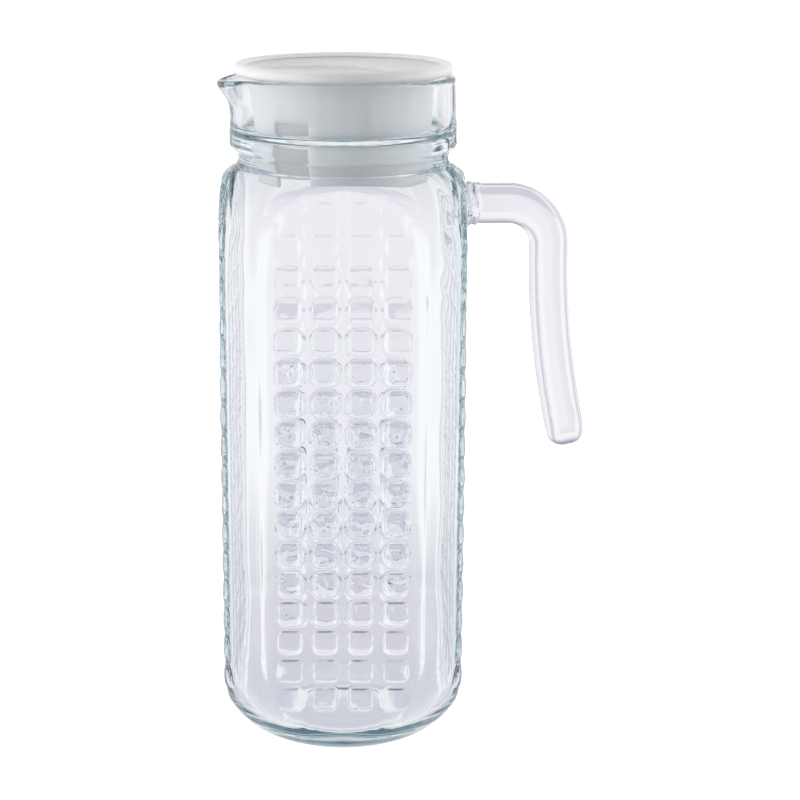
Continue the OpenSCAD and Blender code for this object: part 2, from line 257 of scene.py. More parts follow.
def outer_rows():
    """Profile (r, z) from the foot to the top of the collar's plain side."""
    hollow = [(r, PUNT_H * (1 - (r / PUNT_R) ** 2)) for r in (7, 13, 18, 21.5, 23.5)]
    foot_ring = [(24.6, 0.06), (26.0, 0.0), (27.8, 0.0)]
    heel = [(BODY_R - HEEL_W + HEEL_W * math.sin(math.radians(a)), HEEL_H * (1 - math.cos(math.radians(a))))
            for a in (*range(0, 55, 5), 54)]
    first = STUD_FIRST_Z + STUD_W / 2
    heights = [first - STUD_PITCH_Z / 2]
    for k in range(STUD_ROWS):
        centre = first + k * STUD_PITCH_Z
        heights += [centre + s for s in STUD_STATIONS] + [centre + STUD_PITCH_Z / 2]
    side = [(outer_radius(z), z) for z in heights if z < STUD_GRID_TOP_Z]
    x, z, r = SHOULDER
    shoulder = [(x + r * math.cos(math.radians(a)), z + r * math.sin(math.radians(a)))
                for a in (42, 46, 50, 54, 57)]
    groove = arc(*GROOVE, 180 + ROLL, 135, 12)
    collar = arc(*COLLAR_CORNER, -45, 0, 5) + [(collar_radius(z), z) for z in (232, 234.5, 237)]
    return hollow + foot_ring + heel + side + shoulder + groove + collar


def rim_rows():
    """Profiles over the rim, as pairs: the plain one, and the one through the middle of the pouring lip."""
    corner_z = RIM_Z - RIM_CORNER
    plain = [(collar_radius(z), z) for z in (240, 242, 244, 246, 248, 250, 251.5, 252.7)]
    plain += arc(COLLAR_TOP_R - RIM_CORNER, corner_z, RIM_CORNER, 0, 90, 4) + [(RIM_MIDDLE_R, RIM_Z)]
    plain += arc(MOUTH_R + RIM_CORNER, corner_z, RIM_CORNER, 90, 180, 4)
    plain += [(MOUTH_R, z) for z in (252.5, 251, 249, 247, 245, 243, 241, 239)]
    # Up the lip's underside, round its nose and down the channel that the drink runs over
    lip = [(42.15, 240), (42.15, 242), (42.4, 244.0), (43.1, 245.9), (44.1, 247.4), (45.1, 248.9),
           (45.9, 250.2), (46.45, 251.3), (46.68, 251.9), (46.7, 252.4), (46.6, 252.85), (46.3, 253.1),
           (45.8, 253.2), (45.3, 253.15), (44.8, 252.95), (44.3, 252.5), (43.8, 251.85), (43.3, 251.15),
           (42.7, 250.3), (41.9, 249.2), (41.0, 247.9), (40.1, 246.6), (39.3, 245.2), (38.7, 244.0),
           (38.35, 242.8), (38.22, 241.2), (MOUTH_R, 239)]
    return list(zip(plain, lip))


def inner_rows():
    """Profile (r, z) from the ledge down to the floor's middle."""
    ledge = [(MOUTH_R, 237.6), (38.0, 236.6), (37.4, 235.7), (36.4, 234.6), (35.5, 233.5), (34.95, 232.6)]
    throat = [(THROAT_R, z) for z in (231.3, 229.5, 228.2)]
    # The plunger's shoulder sits a little higher than the mould's, which keeps the panel's arch clear
    x, z, r = SHOULDER
    z += INNER_RISE
    fillet_x = THROAT_R + THROAT_FILLET
    rise = math.sqrt((r - WALL + THROAT_FILLET) ** 2 - (fillet_x - x) ** 2)
    turn = math.degrees(math.atan2(rise, fillet_x - x))
    fillet = arc(fillet_x, z + rise, THROAT_FILLET, 180, 180 + turn, 8)
    shoulder = arc(x, z, r - WALL, turn, 0, 16)[1:]
    inner_r = BODY_R - WALL
    side = [(inner_r, z) for z in np.linspace(INNER_WALL_TOP, INNER_WALL_FOOT, 24)]
    corner = [(inner_r - FLOOR_W + FLOOR_W * math.sin(math.radians(a)),
               FLOOR_Z + (HEEL_H - FLOOR_Z) * (1 - math.cos(math.radians(a))))
              for a in np.linspace(90, 0, 18)]
    floor = [(r, FLOOR_Z) for r in (28, 21, 14, 7)]
    return ledge + throat + fillet + shoulder + side + corner + floor


def stud_share(across, z, out, rows):
    """How much of a stud's height each point of a panel may have: none outside the rows, where the arch at
    the panel's top cuts a stud off, or on the round heel, and less towards the shoulder."""
    column = np.floor(across / STUD_PITCH_X + STUD_COLUMNS / 2)
    centre_x = (column + 0.5 - STUD_COLUMNS / 2) * STUD_PITCH_X
    row = np.round((z - STUD_FIRST_Z - STUD_W / 2) / STUD_PITCH_Z)
    top = STUD_FIRST_Z + STUD_W + row * STUD_PITCH_Z
    limit = np.array([math.sqrt(max(0.0, outer_radius(v) ** 2 - PANEL_Y ** 2)) for v in top])
    on_grid = (column >= 0) & (column < STUD_COLUMNS) & (row >= 0) & (row < rows)
    whole = on_grid & (np.abs(centre_x) + STUD_W / 2 <= limit)
    height = 1 - STUD_LOSS * np.clip((row - LOSS_FIRST_ROW) / LOSS_ROWS, 0, 1)
    return whole * height * np.clip((HEEL_SINK - (PANEL_Y - out)) / HEEL_SINK_FADE, 0, 1)


def stud_tree(material):
    """Geometry Nodes that press the studs into the skin: a soft square pillow at every crossing of two even
    pitches. The skin brings, for each point, how far across its panel it lies, which way is out, and its
    share of the height."""
    tree = bpy.data.node_groups.new("pressed_studs", "GeometryNodeTree")
    tree.interface.new_socket("Geometry", in_out="INPUT", socket_type="NodeSocketGeometry")
    sizes = {"Stud Width": STUD_W, "Corner Radius": STUD_CORNER, "Edge Width": STUD_EDGE,
             "Stud Height": STUD_H, "Crown": STUD_CROWN, "Pitch Across": STUD_PITCH_X,
             "Pitch Up": STUD_PITCH_Z, "First Row Centre": STUD_FIRST_Z + STUD_W / 2}
    values = {}
    for name, value in sizes.items():
        socket = tree.interface.new_socket(name, in_out="INPUT", socket_type="NodeSocketFloat")
        values[socket.identifier] = value
    tree.interface.new_socket("Geometry", in_out="OUTPUT", socket_type="NodeSocketGeometry")
    size = add(tree, "NodeGroupInput", (-1800, 0)).outputs
    across = add(tree, "GeometryNodeInputNamedAttribute", (-1800, 400), data_type="FLOAT", Name="across")
    out = add(tree, "GeometryNodeInputNamedAttribute", (-600, -600), data_type="FLOAT_VECTOR", Name="outward")
    share = add(tree, "GeometryNodeInputNamedAttribute", (-600, -400), data_type="FLOAT", Name="share")
    place = add(tree, "GeometryNodeInputPosition", (-2000, 200))
    point = add(tree, "ShaderNodeSeparateXYZ", (-1800, 200), {0: place})
    # Distance from the nearest stud's middle, across and up
    step = add(tree, "ShaderNodeMath", (-1600, 400), {0: across, 1: size["Pitch Across"]}, operation="DIVIDE")
    part = add(tree, "ShaderNodeMath", (-1450, 400), {0: step}, operation="FRACT")
    off = add(tree, "ShaderNodeMath", (-1300, 400), {0: part, 1: 0.5}, operation="SUBTRACT")
    off_mm = add(tree, "ShaderNodeMath", (-1150, 400), {0: off, 1: size["Pitch Across"]},
                 operation="MULTIPLY")
    dx = add(tree, "ShaderNodeMath", (-1000, 400), {0: off_mm}, operation="ABSOLUTE")
    up = add(tree, "ShaderNodeMath", (-1750, 0), {0: point.outputs["Z"], 1: 1 / MM}, operation="MULTIPLY")
    over = add(tree, "ShaderNodeMath", (-1600, 0), {0: up, 1: size["First Row Centre"]}, operation="SUBTRACT")
    rise = add(tree, "ShaderNodeMath", (-1450, 0), {0: over, 1: size["Pitch Up"]}, operation="DIVIDE")
    near = add(tree, "ShaderNodeMath", (-1300, 0), {0: rise}, operation="ROUND")
    apart = add(tree, "ShaderNodeMath", (-1150, 0), {0: rise, 1: near}, operation="SUBTRACT")
    apart_mm = add(tree, "ShaderNodeMath", (-1000, 0), {0: apart, 1: size["Pitch Up"]}, operation="MULTIPLY")
    dz = add(tree, "ShaderNodeMath", (-850, 0), {0: apart_mm}, operation="ABSOLUTE")
    # Depth inside the outline with its round corners
    half = add(tree, "ShaderNodeMath", (-1450, -250), {0: size["Stud Width"], 1: 0.5}, operation="MULTIPLY")
    inner = add(tree, "ShaderNodeMath", (-1300, -250), {0: half, 1: size["Corner Radius"]},
                operation="SUBTRACT")
    past_x = add(tree, "ShaderNodeMath", (-700, 300), {0: dx, 1: inner}, operation="SUBTRACT")
    past_z = add(tree, "ShaderNodeMath", (-700, 100), {0: dz, 1: inner}, operation="SUBTRACT")
    past = add(tree, "ShaderNodeCombineXYZ", (-550, 200), {0: past_x, 1: past_z})
    corner = add(tree, "ShaderNodeVectorMath", (-400, 200), {0: past, 1: (0, 0, 0)}, operation="MAXIMUM")
    outside = add(tree, "ShaderNodeVectorMath", (-250, 200), {0: corner}, operation="LENGTH").outputs["Value"]
    flat = add(tree, "ShaderNodeMath", (-400, 0), {0: past_x, 1: past_z}, operation="MAXIMUM")
    within = add(tree, "ShaderNodeMath", (-250, 0), {0: flat, 1: 0.0}, operation="MINIMUM")
    border = add(tree, "ShaderNodeMath", (-100, 100), {0: outside, 1: within}, operation="ADD")
    depth = add(tree, "ShaderNodeMath", (50, 100), {0: size["Corner Radius"], 1: border},
                operation="SUBTRACT")
    # The edge rises as a quarter circle, and the crown falls off with the square of the way from its middle
    edge = add(tree, "ShaderNodeMapRange", (200, 100), {"Value": depth, "From Max": size["Edge Width"]},
               From_Min=0.0, To_Min=1.0, To_Max=0.0)
    square = add(tree, "ShaderNodeMath", (350, 100), {0: edge, 1: edge}, operation="MULTIPLY")
    left = add(tree, "ShaderNodeMath", (500, 100), {0: 1.0, 1: square}, operation="SUBTRACT")
    quarter = add(tree, "ShaderNodeMath", (650, 100), {0: left}, operation="SQRT")
    way = add(tree, "ShaderNodeCombineXYZ", (-700, 600), {0: dx, 1: dz})
    length = add(tree, "ShaderNodeVectorMath", (-550, 600), {0: way}, operation="LENGTH").outputs["Value"]
    ratio = add(tree, "ShaderNodeMath", (-400, 600), {0: length, 1: half}, operation="DIVIDE")
    ratio_2 = add(tree, "ShaderNodeMath", (-250, 600), {0: ratio, 1: ratio}, operation="MULTIPLY")
    capped = add(tree, "ShaderNodeMath", (-100, 600), {0: ratio_2, 1: 1.0}, operation="MINIMUM")
    fall = add(tree, "ShaderNodeMath", (50, 600), {0: capped, 1: size["Crown"]}, operation="MULTIPLY")
    crown = add(tree, "ShaderNodeMath", (200, 600), {0: 1.0, 1: fall}, operation="SUBTRACT")
    pillow = add(tree, "ShaderNodeMath", (800, 200), {0: quarter, 1: crown}, operation="MULTIPLY")
    relief = add(tree, "ShaderNodeMath", (950, 200), {0: pillow, 1: share}, operation="MULTIPLY")
    tall = add(tree, "ShaderNodeMath", (1100, 200), {0: relief, 1: size["Stud Height"]}, operation="MULTIPLY")
    metres = add(tree, "ShaderNodeMath", (1250, 200), {0: tall, 1: MM}, operation="MULTIPLY")
    push = add(tree, "ShaderNodeVectorMath", (1400, 0), {0: out, "Scale": metres}, operation="SCALE")
    pressed = add(tree, "GeometryNodeSetPosition", (1550, 200),
                  {"Geometry": size["Geometry"], "Offset": push})
    # The glass's material reads how high a stud stands, for its ripples and its painted shade
    shade = add(tree, "ShaderNodeMath", (1400, 400), {0: relief, 1: STUD_TONE},
                operation="MULTIPLY", use_clamp=True)
    kept = add(tree, "GeometryNodeStoreNamedAttribute", (1700, 200), {"Geometry": pressed, "Value": shade},
               data_type="FLOAT", domain="POINT", Name="stud")
    # Painted shade: where a dark dash goes, just above each stud's top, for the dark line the glass shows
    # there
    top = add(tree, "ShaderNodeMapRange", (1100, -200), {"Value": apart_mm},
              From_Min=DASH_BEGIN, From_Max=DASH_FULL, To_Min=0.0, To_Max=1.0)
    tip = add(tree, "ShaderNodeMapRange", (1100, -450), {"Value": apart_mm},
              From_Min=DASH_FADE, From_Max=DASH_END, To_Min=1.0, To_Max=0.0)
    wide = add(tree, "ShaderNodeMapRange", (1100, -700), {"Value": dx},
               From_Min=DASH_HALF_W, From_Max=DASH_REACH_W, To_Min=1.0, To_Max=0.0)
    strip = add(tree, "ShaderNodeMath", (1300, -300), {0: top, 1: tip}, operation="MULTIPLY")
    short = add(tree, "ShaderNodeMath", (1450, -300), {0: strip, 1: wide}, operation="MULTIPLY")
    mark = add(tree, "ShaderNodeMath", (1600, -300), {0: short, 1: share}, operation="MULTIPLY")
    with_dash_mask = add(tree, "GeometryNodeStoreNamedAttribute", (1800, 0), {"Geometry": kept, "Value": mark},
                 data_type="FLOAT", domain="POINT", Name="fold_and_dash_shade")
    real = add(tree, "GeometryNodeRealizeInstances", (1850, 200), {0: with_dash_mask})
    glazed = add(tree, "GeometryNodeSetMaterial", (2000, 200), {"Geometry": real, "Material": material})
    add(tree, "NodeGroupOutput", (2150, 200), {0: glazed})
    return tree, values


def wander(waves, angle):
    """How far out of step a fold is at an angle round the joint, in radians."""
    return sum(depth * np.sin(count * angle + phase) for depth, count, phase in waves)


def melted_skin(across, out, z, panel):
    """Folds in the body's skin round the joint, where the handle was pressed on while the glass was soft."""
    middle = np.radians(panel * 90 - 90)
    x = out * np.cos(middle) - across * np.sin(middle)
    y = out * np.sin(middle) + across * np.cos(middle)
    apart = np.sqrt((x - MELT_X) ** 2 + y ** 2 + (z - ARM_Z) ** 2)
    round_it = np.arctan2(z - ARM_Z, y)
    near = np.exp(-(apart / MELT_REACH) ** 2) * np.clip((apart - MELT_BARE_R) / MELT_FADE, 0, 1)
    folds = np.sin(apart * 2 * math.pi / MELT_PITCH + wander(MELT_WANDER, round_it))
    return MELT_H * near * folds * (z > MELT_LOW_Z)


def inner_waves(z, turn):
    """How far the inner wall stands out or in at each column of a row, as the plunger left it."""
    if z <= WAVES_FROM_Z:
        return 0.0
    fade_in = min(1.0, (z - WAVES_FROM_Z) / WAVES_FULL_H)
    fade_out = 1.0 if z < WAVES_FADE_Z else max(0.0, (WAVES_FADE_Z + WAVES_FADE_H - z) / WAVES_FADE_H)
    waves = sum(height * np.sin(count * turn + z / rise + phase)
                for height, count, rise, phase in PLUNGER_WAVES)
    return fade_in * fade_out * waves


def glass_body(material):
    """The pressed body: outside with its studs, collar, pouring lip and hollow, as one closed skin."""
    base = panel_angles()
    angle = np.array([a - 90 + 90 * q for q in range(4) for a in base])
    panel = np.repeat(range(4), len(base))
    middle = np.radians(panel * 90 - 90)
    off = np.radians(angle - (panel * 90 - 90))
    turn = np.radians(angle)
    # Each row holds, for every column, how far across its panel, how far out and how high it lies
    rows, share = [], []
    for r, z in outer_rows():
        radius, heights = np.full(len(angle), r), np.full(len(angle), z)
        if z < PANEL_TOP_Z:
            radius = smooth_least(radius, PANEL_Y / np.cos(off), CREASE_BLEND)
        across, out = radius * np.sin(off), radius * np.cos(off)
        share.append(stud_share(across, heights, out, np.where(panel == 1, PAD_ROWS, STUD_ROWS)))
        rows.append((across, out + melted_skin(across, out, heights, panel), heights))
    # The lip points to -X, which is angle 180
    away = np.abs(angle % 360 - 180)
    lip_w = np.cos(np.radians(90) * np.clip(away / LIP_HALF_ANGLE, 0, 1)) ** 2
    for (plain_r, plain_z), (lip_r, lip_z) in rim_rows():
        r = plain_r + (lip_r - plain_r) * lip_w
        z = plain_z + (lip_z - plain_z) * lip_w
        rows.append((r * np.sin(off), r * np.cos(off), z))
    ledge = [0.0] * len(rows)
    for r, z in inner_rows():
        radius, heights = np.full(len(angle), r), np.full(len(angle), z)
        if z < INNER_PANEL_TOP_Z:
            blend = np.interp(z, BLEND_CHANGE_Z, (CREASE_BLEND, PLUNGER_BLEND))
            radius = smooth_least(radius, (PANEL_Y - WALL) / np.cos(off), blend)
        radius = radius + inner_waves(z, turn)
        rows.append((radius * np.sin(off), radius * np.cos(off), heights))
        ledge.append(math.exp(-((z - LEDGE_Z) / LEDGE_SHADE_W) ** 2))
    points = []
    for across, out, z in rows:
        # Across runs to the left of out, which points along the panel's middle direction
        x = out * np.cos(middle) - across * np.sin(middle)
        y = out * np.sin(middle) + across * np.cos(middle)
        points.append(np.stack([x, y, z], 1))
    points = np.vstack(points + [[[0, 0, PUNT_H]], [[0, 0, FLOOR_Z]]])
    body = mesh_object("pressed_glass_body", points, grid_faces(len(rows), len(angle)))

    # What the studs' nodes and the material read at each point: nothing past a list's end, or at the poles
    outward = np.stack([np.cos(middle), np.sin(middle), 0 * middle], 1)
    facts = {"across": np.concatenate([row[0] for row in rows]), "share": np.concatenate(share),
             "ledge": np.repeat(ledge, len(angle)), "outward": np.tile(outward, (len(rows), 1))}
    for name, known in facts.items():
        value = np.zeros((len(points), *known.shape[1:]))
        value[:len(known)] = known
        kind, field = ("FLOAT_VECTOR", "vector") if name == "outward" else ("FLOAT", "value")
        body.data.attributes.new(name, kind, "POINT").data.foreach_set(field, np.ravel(value))
    tree, values = stud_tree(material)
    press = body.modifiers.new("pressed_studs", "NODES")
    press.node_group = tree
    for identifier, value in values.items():
        press[identifier] = value
    make_plain(body)
    for name in ("across", "share", "outward"):
        body.data.attributes.remove(body.data.attributes[name])
    return body


def strap_outline():
    """Outline of the handle's section, as (through, across), anticlockwise, with its flats divided."""
    h, w, r = STRAP_T / 2, STRAP_W / 2, STRAP_EDGE
    middles = ((h - r, w - r), (r - h, w - r), (r - h, r - w), (h - r, r - w))
    corners = [arc(x, y, r, 90 * q, 90 * q + 90, 6) for q, (x, y) in enumerate(middles)]
    points = []
    for q, corner in enumerate(corners):
        (x, y), (next_x, next_y) = corner[-1], corners[(q + 1) % 4][0]
        points += corner + [(x + (next_x - x) * k / 4, y + (next_y - y) * k / 4) for k in (1, 2, 3)]
    return np.array(points)


def handle_path():
    """Stations along the strap, each as its place (x, z) and the direction (x, z) of its outer face."""
    stations = []
    root, arm = np.linspace(PANEL_Y + ROOT_GAP, ROOT_FINE_X, 24), np.linspace(ARM_COARSE_X, BEND_X, 6)
    for x in np.concatenate([root, arm]):
        stations.append(((x, ARM_Z), (0.0, 1.0)))
    bend_z = ARM_Z - BEND_R
    for a in np.linspace(90, 0, 19)[1:]:
        c, s = math.cos(math.radians(a)), math.sin(math.radians(a))
        stations.append(((BEND_X + BEND_R * c, bend_z + BEND_R * s), (c, s)))
    leg_x = BEND_X + BEND_R + LEG_R
    for a in np.linspace(0, LEAN_END, 25)[1:]:
        c, s = math.cos(math.radians(a)), math.sin(math.radians(a))
        stations.append(((leg_x - LEG_R * c, bend_z - LEG_R * s), (c, s)))
    return stations


def glass_handle():
    """The handle: a strap swept along the arm, the bend and the leg, with a rounded free end and a root that
    swelled and folded as it was pressed on."""
    outline = strap_outline()
    turn = np.arctan2(outline[:, 1], outline[:, 0])
    path = handle_path()
    rows = []
    for (x, z), (out_x, out_z) in path:
        shape = outline.copy()
        along = x - PANEL_Y
        if along < ROOT_L and out_z == 1.0:
            below = np.clip(-outline[:, 0] / (STRAP_T / 2), -1, 1)
            swell = math.exp(-along / ROOT_FLARE_L) * (ROOT_SWELL + ROOT_SWELL_BELOW * below)
            height = ROOT_FOLD_H * math.exp(-((along - ROOT_FOLD_AT) / ROOT_FOLD_AT) ** 2)
            fold_and_dash_shade = height * np.sin(2 * math.pi * along / ROOT_FOLD_PITCH + wander(ROOT_WANDER, turn))
            length = np.hypot(shape[:, 0], shape[:, 1])
            shape = shape * ((length + swell + fold_and_dash_shade) / length)[:, None]
        rows.append(np.stack([x + out_x * shape[:, 0], shape[:, 1], z + out_z * shape[:, 0]], 1))
    # Rounded free end: the section draws in as it goes on along the leg
    (x, z), (out_x, out_z) = path[-1]
    for a in (14, 28, 40, 51, 61, 70, 78, 85):
        step = TIP_L - TIP_CORNER + TIP_CORNER * math.sin(math.radians(a))
        shape = outline * (1 - TIP_CORNER * (1 - math.cos(math.radians(a))) / (STRAP_W / 2))
        tip_x, tip_z = x + step * out_z, z - step * out_x
        rows.append(np.stack([tip_x + out_x * shape[:, 0], shape[:, 1], tip_z + out_z * shape[:, 0]], 1))
    ends = [[[PANEL_Y + ROOT_GAP, 0, ARM_Z]], [[x + TIP_L * out_z, 0, z - TIP_L * out_x]]]
    return mesh_object("fused_glass_handle", np.vstack(rows + ends), grid_faces(len(rows), len(outline)))


def revolved(name, profile, columns=160):
    """A closed skin turned round the axis from a profile (r, z) that starts and ends on the axis."""
    turn = np.linspace(0, 2 * math.pi, columns, endpoint=False)
    rings = [np.stack([r * np.cos(turn), r * np.sin(turn), np.full(columns, z)], 1) for r, z in profile[1:-1]]
    poles = [[[0, 0, profile[0][1]]], [[0, 0, profile[-1][1]]]]
    return mesh_object(name, np.vstack(rings + poles), grid_faces(len(rings), columns))


def window_cutter():
    """A plain block through the plug's side, from below the plug's end to the window's top."""
    c, s = math.cos(math.radians(WINDOW_ANGLE)), math.sin(math.radians(WINDOW_ANGLE))
    inner, outer, half = 20, DISC_R, WINDOW_W / 2
    corners = [(x, y, z) for z in (PLUG_Z - CUTTER_SLACK, WINDOW_TOP)
               for x, y in ((inner, -half), (outer, -half), (outer, half), (inner, half))]
    points = [(c * x - s * y, s * x + c * y, z) for x, y, z in corners]
    faces = [(3, 2, 1, 0), (4, 5, 6, 7), (0, 1, 5, 4), (1, 2, 6, 5), (2, 3, 7, 6), (3, 0, 4, 7)]
    return mesh_object("window_cutter", points, faces, smooth=False)


def disc_cutter(name, centre, r, low, high, columns=128):
    """A round cutter with its axis along Z."""
    turn = np.linspace(0, 2 * math.pi, columns, endpoint=False)
    ring = np.stack([centre[0] + r * np.cos(turn), centre[1] + r * np.sin(turn)], 1)
    points = np.vstack([np.column_stack([ring, np.full(columns, z)]) for z in (low, high)])
    faces = [tuple(reversed(range(columns))), tuple(range(columns, 2 * columns))]
    faces += [(j, (j + 1) % columns, columns + (j + 1) % columns, columns + j) for j in range(columns)]
    return mesh_object(name, points, faces, smooth=False)


def make_plain(piece):
    """Turns a piece's live modifiers into its plain mesh."""
    graph = bpy.context.evaluated_depsgraph_get()
    shaped = piece.evaluated_get(graph)
    mesh = bpy.data.meshes.new_from_object(shaped, preserve_all_data_layers=True, depsgraph=graph)
    piece.modifiers.clear()
    old = piece.data
    piece.data = mesh
    mesh.name = piece.name
    bpy.data.meshes.remove(old)


def cut(piece, cutter, operation="DIFFERENCE"):
    """Takes the cutter out of a piece, or with INTERSECT all that lies outside it, and deletes the cutter."""
    step = piece.modifiers.new("cut", "BOOLEAN")
    step.operation = operation
    step.solver = "EXACT"
    step.object = cutter
    make_plain(piece)
    bpy.data.objects.remove(cutter)


def stopper_lid():
    """The moulded lid: dished disc with a rolled edge, hollow plug with its bead and window, and the recess
    on top."""
    bead_wall = PLUG_END_R + (PLUG_TOP_R - PLUG_END_R) * (BEAD_Z - PLUG_Z) / (DISC_Z - PLUG_Z)
    inner_top_r, inner_end_r = PLUG_TOP_R - PLUG_T, PLUG_END_R - PLUG_T
    # The dish, its soft corner, the rolled edge and the disc's underside
    profile = [(r, DISH_Z) for r in (0, 10, 20, 28, 33, 34.9)]
    profile += [(35.6, DISH_Z + 0.12), (36.05, DISH_Z + 0.5), (36.25, DISH_Z + 0.95)]
    profile += arc(DISC_R - DISC_EDGE, DISC_Z + DISC_EDGE, DISC_EDGE, 165, -90, 20)
    profile += [(36.5, DISC_Z), (PLUG_TOP_R + 0.9, DISC_Z)]
    # Down the plug's outside, over its bead
    profile += [(PLUG_TOP_R + 0.3, DISC_Z - 0.25), (PLUG_TOP_R, DISC_Z - 0.9)]
    profile += [(PLUG_TOP_R - 0.3, 246), (PLUG_TOP_R - 0.6, 237)]
    profile += [(bead_wall + 0.08, BEAD_Z + BEAD_HALF + 0.35), (bead_wall + 0.45, BEAD_Z + BEAD_HALF - 0.1)]
    profile += [(BEAD_R - 0.22, BEAD_Z + 0.75), (BEAD_R, BEAD_Z + 0.25)]
    profile += [(BEAD_R, BEAD_Z - 0.25), (BEAD_R - 0.22, BEAD_Z - 0.75)]
    profile += [(bead_wall + 0.4, BEAD_Z - BEAD_HALF + 0.1), (bead_wall + 0.03, BEAD_Z - BEAD_HALF - 0.35)]
    profile += [(PLUG_END_R + 0.15, PLUG_Z + 4), (PLUG_END_R, PLUG_Z + 0.5)]
    profile += [(PLUG_END_R - 0.2, PLUG_Z + 0.08)]
    # Across the plug's end and up its inside
    profile += [(PLUG_END_R - 0.6, PLUG_Z), (inner_end_r + 0.6, PLUG_Z), (inner_end_r + 0.15, PLUG_Z + 0.1)]
    profile += [(inner_end_r, PLUG_Z + 0.6), (inner_top_r - 0.7, 236), (inner_top_r - 0.05, DISC_Z - 1.2)]
    profile += [(inner_top_r - 0.4, DISC_Z - 0.4), (inner_top_r - 1.2, DISC_Z), (20, DISC_Z), (0, DISC_Z)]
    lid = revolved("polyethylene_stopper_lid", profile)
    cut(lid, window_cutter())
    # The recess over the window is the part of a round mark that lies within the dish
    turn = math.radians(WINDOW_ANGLE)
    middle = (MARK_OFFSET * math.cos(turn), MARK_OFFSET * math.sin(turn))
    mark = disc_cutter("mark_cutter", middle, MARK_R, MARK_Z, MARK_Z + MARK_CUTTER_H)
    dish = disc_cutter("dish_cutter", (0, 0), DISH_R, MARK_Z - CUTTER_SLACK, MARK_Z + DISH_CUTTER_H)
    cut(mark, dish, "INTERSECT")
    cut(lid, mark)
    bevel = lid.modifiers.new("soft_edges", "BEVEL")
    bevel.width = SOFT_EDGE * MM
    bevel.segments = 3
    bevel.limit_method = "ANGLE"
    bevel.angle_limit = math.radians(SOFT_EDGE_ANGLE)
    make_plain(lid)
    lid.data.polygons.foreach_set("use_smooth", [True] * len(lid.data.polygons))
    lid.data.update()
    return lid


def new_material(name):
    """A material with an empty node tree, and that tree."""
    material = bpy.data.materials.new(name)
    material.use_nodes = True
    material.node_tree.nodes.clear()
    return material, material.node_tree


